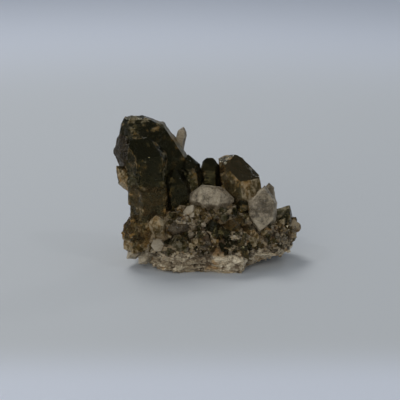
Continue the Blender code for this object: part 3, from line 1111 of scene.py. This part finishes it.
@dataclass(frozen=True)
class Rock:
    """The rock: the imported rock's surface, with layers, broken facets and grain on it.

    clasts are the lumps of greyer stone that are caught up in it.
    """

    heart: Triple = (2, -1, 12)
    lumps: tuple[Lump, ...] = (
        Lump((-1, -2.5, 5), (26, 23, 9)),
        Lump((1, -2, 15), (21, 17, 12)),
        Lump((-22, -5, 12), (10, 11, 9.5)),
        Lump((25, -2, 10.5), (14, 15, 9)),
        Lump((31.5, -1, 10.5), (8, 11, 7)),
        Lump((8, -12, 9), (14, 11, 10)),
    )
    boxiness: float = 3.0
    blend: float = 5.0
    bulges: tuple[tuple[float, float], ...] = ((16.0, 2.2), (7.0, 1.7), (3.8, 1.1))
    around: int = 430
    up: int = 210
    limit: float = 60.0
    undercut: float = 1.3
    clasts: tuple[Lump, ...] = (
        Lump((-19, -18, 4), (8, 6, 5)),
        Lump((-9, -23, 3), (11, 8, 5)),
        Lump((28, -12, 14), (6, 6, 4)),
    )

    SHARP = 32.0  # edges steeper than this many degrees are shown sharp

    def swell(self, points: Array) -> Array:
        """How deep inside the blended lumps each point is: 1 on their surface, more inside."""
        total = np.zeros(len(points))
        for lump in self.lumps:
            share = np.abs(points - lump.centre) / lump.reach
            total += np.exp(self.blend * (1.0 - (share**self.boxiness).sum(axis=1)))
        return total

    def outline(self, aim: Array) -> Array:
        """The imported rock's surface along each direction from its heart.

        The lumps' surface is found by walking out and then halving the last step, and is moved
        along the direction by three sizes of smooth noise.
        """
        heart = np.array(self.heart, float)
        reach = np.zeros(len(aim))
        steps = np.linspace(0.0, self.limit, 90)
        for distance in steps:
            inside = self.swell(heart + aim * distance) >= 1.0
            reach[inside] = distance
        stride = steps[1]
        for _ in range(6):
            stride /= 2
            further = reach + stride
            inside = self.swell(heart + aim * further[:, None]) >= 1.0
            reach = np.where(inside, further, reach)
        smooth = heart + aim * reach[:, None]
        for spacing, height in self.bulges:
            reach = reach + height * smooth_noise(smooth / spacing + spacing)
        return heart + aim * reach[:, None]

    def skin(self) -> tuple[Array, dict[str, Array]]:
        """The rock's surface on a grid of directions, and its attributes.

        Returns:
            The points, in rows by columns by 3, and the vertex attributes.
        """
        turn = 2 * np.pi * np.arange(self.around) / self.around
        rise = np.pi * (np.arange(self.up) / (self.up - 1) - 0.5)
        rise_grid, turn_grid = np.meshgrid(rise, turn, indexing="ij")
        aim = np.stack(
            [np.cos(rise_grid) * np.cos(turn_grid), np.cos(rise_grid) * np.sin(turn_grid), np.sin(rise_grid)],
            axis=-1,
        ).reshape(-1, 3)
        base = self.outline(aim)
        low = 1.0 - ramp_up(base[:, 2] + 1.5 * smooth_noise(base / 4.0), 6.0, 11.0)
        fold = 0.16 * base[:, 0] + 1.6 * smooth_noise(base / 7.0 + 11.0)
        bedding = base + fold[:, None] * (0.0, 0.0, 1.0)
        layers = smooth_noise(bedding / (9.0, 9.0, 1.5) + 5.0) + 0.4 * smooth_noise(bedding / (5.0, 5.0, 0.8))
        lift = 0.42 * np.tanh(3.0 * layers) * low
        lift += facets(base, 5.5, 0.3, 0.5)
        lift += (1.0 - 0.5 * low) * facets(base + 40.0, 2.2, 0.4, 0.3)
        lift += 0.3 * fractal_noise(base / 1.1, 2)
        points = base + aim * lift[:, None]
        points -= aim * (1, 1, 0) * self.undercut * (1.0 - ramp_up(points[:, 2:], 0.0, 2.0))
        points[:, 2] = np.maximum(points[:, 2], 0.0)
        # how far the relief sinks, which the material darkens as painted shade
        hollow = 1.0 - ramp_up(lift, -1.0, 0.0)
        clast = np.zeros(len(base))
        wavy = base + 1.5 * smooth_noise(base / 2.5)[:, None]
        for lump in self.clasts:
            share = (((wavy - lump.centre) / lump.reach) ** 2).sum(axis=1)
            clast = np.maximum(clast, 1.0 - ramp_up(share, 0.6, 1.1))
        shade = 0.5 + 0.5 * smooth_noise(base / 2.0)
        marks = {"low": low, "hollow": hollow, "shade": shade, "clast": clast}
        return points.reshape(self.up, self.around, 3), marks

    def build(self, shift: Array) -> tuple[bpy.types.Object, Array]:
        """Makes the rock's object.

        Args:
            shift: where the specimen's own origin lies in the frame, in millimetres.

        Returns:
            The rock, and its grid of points in the specimen's own millimetres.
        """
        rows, marks = self.skin()
        return closed_surface("rock_skin", rows, marks, shift, self.SHARP), rows


# ---------------------------------------------------------------- crust


@dataclass(frozen=True)
class Ground:
    """Somewhere for a crust to grow: corners of many small patches, their middles and normals."""

    places: Array
    normals: Array
    areas: Array

    @classmethod
    def of_grid(cls, rows: Array) -> "Ground":
        """The patches of a grid: middle of each cell, half the cross product of its diagonals."""
        ahead = np.roll(rows, -1, axis=1)
        across = ahead[1:] - rows[:-1]
        other = rows[1:] - ahead[:-1]
        cross = np.cross(across, other).reshape(-1, 3) / 2
        middle = ((rows[:-1] + rows[1:] + ahead[:-1] + ahead[1:]) / 4).reshape(-1, 3)
        area = np.linalg.norm(cross, axis=1)
        return cls(middle, cross / np.maximum(area, 1e-9)[:, None], area)


@dataclass(frozen=True)
class Crust:
    """Many small bodies on the rock, made as one mesh.

    count is how many are tried, sizes their smallest and largest radius, tall their length in
    radii, tilt how far they lean from the rock's normal, and low, high the heights that they
    keep to. clumps thins them out between clumps, sink is how deep they stand, as a share of
    their length; a range gives how free of stain they are, where above 1 they are painted paler
    than unstained, which is painted light; and around, reach are the only place that they grow at.
    """

    name: str
    finish: Finish
    count: int
    sizes: tuple[float, float]
    tall: float
    tilt: float
    seed: int
    low: float = 0.0
    high: float = 60.0
    clumps: float = 0.0
    sink: float = 0.35
    pointed: bool = True
    clean_and_lit: tuple[float, float] = (0.0, 1.0)
    around: Triple | None = None
    reach: float = 6.0

    OUT = 0.4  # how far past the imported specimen's box a body may reach, in millimetres
    KEEP_OFF = 0.5  # how near a big crystal's flats a body may stand, in millimetres
    CLUMP = 5.0  # how far apart clumps are, in millimetres
    SMALLNESS = 2.2  # higher makes the small ones more common
    HEIGHTS = (0.7, 1.4)  # how far their heights vary
    UNEVEN_POINTED = 0.13  # how far a corner strays, as a share of its place
    UNEVEN_CRUMB = 0.28

    def body(self) -> tuple[Array, NDArray[np.int64]]:
        """One small body: a six-sided crystal with a point, or an eight-cornered crumb."""
        if self.pointed:
            angle = 2 * np.pi * np.arange(SIDES) / SIDES
            hexagon = np.stack([np.cos(angle), np.sin(angle), np.zeros(SIDES)], axis=1)
            foot, shoulder = hexagon.copy(), hexagon.copy()
            shoulder[:, 2] = 0.55
            corners = np.concatenate([foot, shoulder, [[0, 0, 1.0], [0, 0, 0]]])
            i = np.arange(SIDES)
            j = (i + 1) % SIDES
            walls = np.concatenate(
                [
                    np.stack([i, j, j + SIDES], axis=1),
                    np.stack([i, j + SIDES, i + SIDES], axis=1),
                    np.stack([i + SIDES, j + SIDES, np.full(SIDES, 12)], axis=1),
                    np.stack([j, i, np.full(SIDES, 13)], axis=1),
                ]
            )
            return corners, walls
        corners = np.array([(x, y, z) for z in (0, 1) for y in (-0.8, 0.8) for x in (-0.8, 0.8)], float)
        square = [(0, 2, 3, 1), (4, 5, 7, 6), (0, 1, 5, 4), (1, 3, 7, 5), (3, 2, 6, 7), (2, 0, 4, 6)]
        walls = np.array([t for a, b, c, d in square for t in ((a, b, c), (a, c, d))])
        return corners, walls

    def build(self, ground: Ground, shift: Array, crystals: tuple[Crystal, ...]) -> bpy.types.Object:
        """Scatters the bodies over the ground.

        Args:
            ground: the rock's patches.
            shift: where the specimen's own origin lies in the frame, in millimetres.
            crystals: the big crystals, inside which nothing is put.

        Returns:
            The crust, at the origin with its place in its mesh.
        """
        rng = np.random.default_rng(self.seed)
        spot = rng.choice(len(ground.areas), self.count, p=ground.areas / ground.areas.sum())
        place, normal = ground.places[spot], ground.normals[spot]
        keep = (place[:, 2] > self.low) & (place[:, 2] < self.high)
        if self.around:
            keep &= np.linalg.norm(place - self.around, axis=1) < self.reach
        if self.clumps:
            keep &= smooth_noise(place / self.CLUMP + self.seed) > self.clumps
        for crystal in crystals:
            keep &= ~crystal.contains(place, -self.KEEP_OFF)
        place, normal = place[keep], normal[keep]
        total = len(place)
        radius = self.sizes[0] * (self.sizes[1] / self.sizes[0]) ** (rng.random(total) ** self.SMALLNESS)
        axis = unit(normal + self.tilt * rng.normal(size=(total, 3)))
        helper = unit(rng.normal(size=(total, 3)))
        first = unit(np.cross(axis, helper))
        second = np.cross(axis, first)
        turn = np.stack([first, second, axis], axis=1)
        corners, walls = self.body()
        height = radius * self.tall * rng.uniform(*self.HEIGHTS, total)
        stretch = np.stack([radius, radius, height], axis=1)
        shaped = corners[None] * stretch[:, None]
        uneven = self.UNEVEN_POINTED if self.pointed else self.UNEVEN_CRUMB
        shaped = shaped * (1 + uneven * rng.normal(size=shaped.shape))
        shaped[..., 2] -= (self.sink * stretch[:, 2])[:, None]
        points = place[:, None] + np.einsum("nvk,nkd->nvd", shaped, turn)
        points[..., 2] = np.maximum(points[..., 2], 0.0)
        low, high = (np.array(corner) / MM - shift for corner in CAD_BOX)
        inside = ((points > low - self.OUT) & (points < high + self.OUT)).all(axis=(1, 2))
        points, shaped, place = points[inside], shaped[inside], place[inside]
        total, many = len(place), len(corners)
        faces = (walls[None] + many * np.arange(total)[:, None, None]).reshape(-1, 3)
        marks = {
            "along": (shaped[..., 2] - shaped[..., 2].min(axis=1, keepdims=True)).ravel(),
            "kind": np.zeros(total * many),
            "shade": np.repeat(rng.uniform(*self.clean_and_lit, total), many),
            "veil": np.repeat(rng.random(total), many),
            "edge": np.zeros(total * many),
            "clast": np.zeros(total * many),
            "hollow": np.repeat(rng.random(total) * 0.35, many),
            "low": np.repeat(1.0 - ramp_up(place[:, 2], 6.0, 11.0), many),
        }
        return mesh_object(self.name, (points.reshape(-1, 3) + shift) * MM, faces.tolist(), marks)


# painted light: druse_fine and druse_bright go above 1 free of stain, painted paler than unstained for bright
# glints
CRUSTS = (
    Crust("druse_brown", Finish.AMBER, 2900, (0.5, 1.9), 2.4, 0.9, 11, low=8.5, clumps=-0.4),
    Crust("druse_dark", Finish.DARK, 1700, (0.5, 1.9), 2.4, 0.9, 12, low=8.5, clumps=-0.1),
    Crust("druse_pale", Finish.FROSTED, 1700, (0.4, 1.3), 2.4, 0.8, 13, low=6.5, clumps=0.0),
    Crust("druse_fine", Finish.FROSTED, 6500, (0.2, 0.6), 2.6, 0.6, 15, low=6.0, clumps=-0.1,
          clean_and_lit=(0.3, 2.0)),
    Crust("druse_bright", Finish.FROSTED, 9000, (0.3, 1.0), 2.4, 0.7, 16, clean_and_lit=(1.3, 2.2),
          around=(-8.3, -18.5, 23.6), reach=4.6),
    Crust("crumbs", Finish.ROCK, 3600, (0.2, 1.0), 0.9, 0.8, 14, clumps=-0.3, sink=0.55, pointed=False),
)


# ---------------------------------------------------------------- the whole specimen


@dataclass(frozen=True)
class Specimen:
    """The cluster: its crystals, its rock and the crust on the rock."""

    crystals: tuple[Crystal, ...] = CRYSTALS
    rock: Rock = Rock()
    crusts: tuple[Crust, ...] = CRUSTS

    def shift(self) -> Array:
        """Where the specimen's own origin lies in the frame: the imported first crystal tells."""
        whole = self.crystals[0]
        points = whole.skin(rough=False)[0].reshape(-1, 3)
        low, high = (np.array(corner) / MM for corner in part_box(whole.name))
        shift = (low + high - points.min(axis=0) - points.max(axis=0)) / 2
        return shift * (1, 1, 0)

    def build(self, wardrobe: Wardrobe) -> Array:
        """Makes and dresses every piece.

        Args:
            wardrobe: where the finishes come from.

        Returns:
            Where the specimen's own origin lies in the frame, in millimetres.
        """
        shift = self.shift()
        for crystal in self.crystals:
            wardrobe.dress(crystal.build(shift), crystal.finish, crystal.name)
        rock, rows = self.rock.build(shift)
        wardrobe.dress(rock, Finish.ROCK, "rock_matrix")
        ground = Ground.of_grid(rows)
        for crust in self.crusts:
            wardrobe.dress(crust.build(ground, shift, self.crystals), crust.finish)
        return shift


# ---------------------------------------------------------------- floor, lights and camera


@dataclass(frozen=True)
class Lamp:
    """A square area light that faces the specimen; place and size are in metres."""

    name: str
    place: Triple
    size: float
    power: float
    colour: Triple = (1.0, 1.0, 1.0)

    def build(self) -> None:
        """Adds the light to the scene."""
        light = bpy.data.lights.new(self.name, "AREA")
        light.size, light.energy, light.color = self.size, self.power, self.colour
        holder = bpy.data.objects.new(self.name, light)
        bpy.context.scene.collection.objects.link(holder)
        holder.location = self.place
        towards = -np.array(self.place) + (0.0, 0.0, 0.02)
        holder.rotation_euler = direction_turn(towards)


LAMPS = (
    Lamp("key", (-0.35, 0.7, 1.15), 0.5, 6.2, (1.0, 0.98, 0.94)),
    Lamp("fill", (-0.25, -0.92, 0.36), 0.6, 2.1, (1.0, 0.93, 0.8)),
    Lamp("glint_left", (-0.55, -0.2, 0.7), 0.06, 0.4),
    Lamp("glint_right", (0.5, -0.35, 0.75), 0.06, 0.3),
    Lamp("glint_back", (0.35, 0.6, 0.5), 0.06, 0.25),
)


@dataclass(frozen=True)
class Studio:
    """A pale floor that sweeps up all round, soft light from above and behind, and the camera; the floor is
    painted paler and bluer towards the front and far out, and its far wall glows faintly, both painted light.
    """

    flat_radius: float = 1.7
    wall_height: float = 0.9
    floor: Triple = (0.60, 0.63, 0.67)
    # painted light: the paler, bluer colour that the floor is painted towards the front and far out
    floor_lit: Triple = (0.75, 0.80, 0.92)
    # painted light: the colour the far wall glows
    glow: Triple = (0.17, 0.18, 0.195)
    sky: Triple = (0.86, 0.94, 1.0)
    sky_strength: float = 0.23
    aim: Triple = (-1.8, 0.0, 26.3)
    elevation: float = 14.0
    distance: float = 0.6
    view_width: float = 0.17778

    AROUND = 96  # corners round the floor
    BEND_ROWS = 24  # rings in the sweep up to the wall's top

    def build_floor(self) -> bpy.types.Object:
        """A turned profile: flat out to a radius, then a quarter ellipse up to the wall's top."""
        around = self.AROUND
        bend = np.linspace(0.0, np.pi / 2, self.BEND_ROWS)
        out = np.concatenate([[0.02, 0.2, 0.6], self.flat_radius + self.wall_height * np.sin(bend)])
        up = np.concatenate([[0.0, 0.0, 0.0], self.wall_height * (1 - np.cos(bend))])
        turn = 2 * np.pi * np.arange(around) / around
        rise = np.repeat(up[:, None], around, axis=1)
        rings = np.stack([out[:, None] * np.cos(turn), out[:, None] * np.sin(turn), rise], axis=-1)
        points = np.concatenate([[[0.0, 0.0, 0.0]], rings.reshape(-1, 3)])
        low, place = np.meshgrid(np.arange(len(out) - 1), np.arange(around), indexing="ij")
        after = (place + 1) % around
        start, end = 1 + low * around, 1 + (low + 1) * around
        quads = np.stack([start + place, end + place, end + after, start + after], axis=-1).reshape(-1, 4)
        spoke = np.arange(around)
        hub = np.stack([np.zeros(around, int), 1 + spoke, 1 + (spoke + 1) % around], axis=1)
        floor = mesh_object("studio_floor", points, quads.tolist() + hub.tolist(), {})
        floor.data.shade_smooth()
        graph = Graph("studio_paper")
        tooth = graph.noise(graph.place(), 1.6, 3.0)
        spot = graph.place()
        ahead = graph.node("ShaderNodeSeparateXYZ", {}, {0: spot})
        away = graph.node("ShaderNodeVectorMath", {"operation": "LENGTH"}, {0: spot})
        # painted light: the floor is paler and bluer towards the front and far out
        nearer = (0.0 - Wire(graph, ahead.outputs["Y"])).between(95.0, 170.0)
        distance = Wire(graph, away.outputs["Value"])
        share = (nearer + distance.between(250.0, 900.0) * 0.8).between(0.0, 1.0)
        paper_and_light = graph.blend(share, self.floor, self.floor_lit)
        # painted light: the far wall glows faintly
        far = distance.between(1600.0, 2300.0)
        graph.surface(
            graph.shader(
                {
                    "Base Color": graph.tinted(paper_and_light, tooth * 0.1, (0.9, 0.9, 0.9)),
                    "Roughness": 0.62 + tooth * 0.1,
                    "Normal": graph.bump(tooth, 0.02),
                    "Emission Color": graph.blend(far, (0.0, 0.0, 0.0), self.glow),
                    "Emission Strength": 1.0,
                }
            )
        )
        floor.data.materials.append(graph.material)
        return floor

    def build_camera(self, shift: Array) -> None:
        """Puts the camera in front, a little above, looking at the middle of the specimen."""
        lens = bpy.data.cameras.new("camera")
        lens.lens = lens.sensor_width * self.distance / self.view_width
        lens.clip_start = 0.01
        holder = bpy.data.objects.new("camera", lens)
        bpy.context.scene.collection.objects.link(holder)
        rise = math.radians(self.elevation)
        back = np.array((0.0, -math.cos(rise), math.sin(rise)))
        holder.location = (shift + self.aim) * MM + back * self.distance
        holder.rotation_euler = (math.pi / 2 - rise, 0.0, 0.0)
        bpy.context.scene.camera = holder

    def build(self, shift: Array) -> None:
        """Makes the floor, the lights, the world and the camera."""
        self.build_floor()
        for lamp in LAMPS:
            lamp.build()
        world = bpy.data.worlds.new("sky")
        world.use_nodes = True
        glow = world.node_tree.nodes["Background"]
        glow.inputs["Color"].default_value = (*self.sky, 1.0)
        glow.inputs["Strength"].default_value = self.sky_strength
        bpy.context.scene.world = world
        bpy.context.scene.view_settings.view_transform = "Standard"
        self.build_camera(shift)


def direction_turn(towards: Array) -> Triple:
    """The Euler turn that points an object's -Z axis along a direction, with no roll."""
    flat = math.hypot(towards[0], towards[1])
    return (math.atan2(flat, -towards[2]), 0.0, math.atan2(-towards[0], towards[1]))


def main() -> None:
    """Builds the specimen and the studio."""
    logging.basicConfig(level=logging.INFO, format="%(message)s")
    shift = Specimen().build(Wardrobe())
    Studio().build(shift)


if __name__ == "__main__":
    main()
